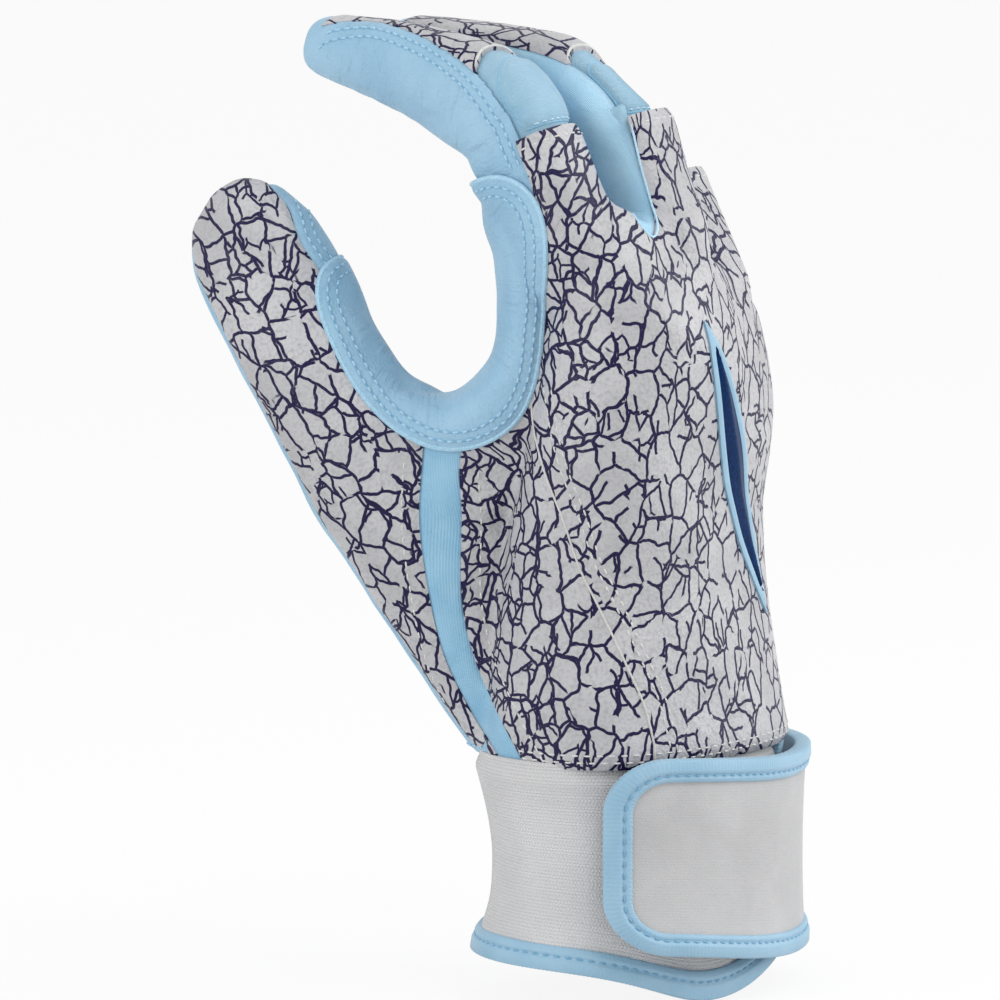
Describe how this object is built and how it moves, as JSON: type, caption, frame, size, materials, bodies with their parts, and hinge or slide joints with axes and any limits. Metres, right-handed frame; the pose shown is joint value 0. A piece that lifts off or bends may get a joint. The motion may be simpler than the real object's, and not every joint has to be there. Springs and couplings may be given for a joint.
{
  "type": "batting glove",
  "caption": "Right-hand batting glove with a printed leather back, soft leather palm, stretch side walls, knit cuff and a hook-and-loop wrist strap, fingers curled for a grip.",
  "frame": {"origin": "centre of the wrist opening at the cuff's lower edge", "axes": "+Z from the wrist to the fingers, +X out of the back of the hand, +Y from the thumb side to the little finger side"},
  "size_m": [0.1131, 0.1003, 0.1996],
  "materials": {
    "printed_leather": "matt grey leather with a navy crackle print",
    "palm_leather": "fine-grained light blue leather",
    "stretch_cloth": "ribbed light blue stretch knit",
    "cuff_knit": "light grey knit",
    "binding_tape": "light blue ribbed binding tape",
    "fastener_pile": "dark grey hook-and-loop pile",
    "inlay_film": "navy satin inlay"
  },
  "bodies": {
    "hand": {"back_panel": "printed_leather", "stretch_strip": "stretch_cloth", "thumb_back": "printed_leather", "palm_panel": "palm_leather", "fourchette_index_middle": "stretch_cloth", "fourchette_middle_ring": "stretch_cloth", "fourchette_ring_little": "stretch_cloth", "web_patch": "palm_leather", "insert_border": "binding_tape", "insert": "inlay_film", "index_knuckle": "stretch_cloth", "middle_knuckle": "stretch_cloth", "ring_knuckle": "stretch_cloth", "little_knuckle": "stretch_cloth", "cuff_band": "cuff_knit", "hem_binding": "binding_tape", "loop_pad": "fastener_pile", "strap_anchor": "cuff_knit"},
    "thumb": {"thumb_tip_back": "printed_leather", "thumb_tip_palm": "palm_leather"},
    "index": {"index_back": "printed_leather", "index_palm": "palm_leather", "index_wall_middle": "stretch_cloth"},
    "middle": {"middle_back": "printed_leather", "middle_palm": "palm_leather", "middle_wall_index": "stretch_cloth", "middle_wall_ring": "stretch_cloth"},
    "ring": {"ring_back": "printed_leather", "ring_palm": "palm_leather", "ring_wall_middle": "stretch_cloth", "ring_wall_little": "stretch_cloth"},
    "little": {"little_back": "printed_leather", "little_palm": "palm_leather", "little_wall_ring": "stretch_cloth"},
    "strap": {"strap_panel": "cuff_knit", "strap_binding": "binding_tape", "hook_pad": "fastener_pile"}
  },
  "joints": [
    {"name": "thumb_flex", "type": "hinge", "parent": "hand", "child": "thumb", "pos_m": [-0.06665, -0.03506, 0.13875], "axis": [-0.6476, -0.5692, -0.5066], "range_deg": [0, 30]},
    {"name": "index_flex", "type": "hinge", "parent": "hand", "child": "index", "pos_m": [-0.022, -0.028, 0.172], "axis": [0, -1, 0], "range_deg": [-42, 15], "deforming": ["index_knuckle"]},
    {"name": "middle_flex", "type": "hinge", "parent": "hand", "child": "middle", "pos_m": [-0.013, -0.0065, 0.173], "axis": [0, -1, 0], "range_deg": [-48, 15], "deforming": ["middle_knuckle"]},
    {"name": "ring_flex", "type": "hinge", "parent": "hand", "child": "ring", "pos_m": [-0.015, 0.014, 0.158], "axis": [0, -1, 0], "range_deg": [-43, 15], "deforming": ["ring_knuckle"]},
    {"name": "little_flex", "type": "hinge", "parent": "hand", "child": "little", "pos_m": [-0.021, 0.033, 0.138], "axis": [0, -1, 0], "range_deg": [-57, 15], "deforming": ["little_knuckle"]},
    {"name": "strap_peel", "type": "hinge", "parent": "hand", "child": "strap", "pos_m": [0.0028, 0.0368, 0.0255], "axis": [0, 0, 1], "range_deg": [0, 80]}
  ]
}
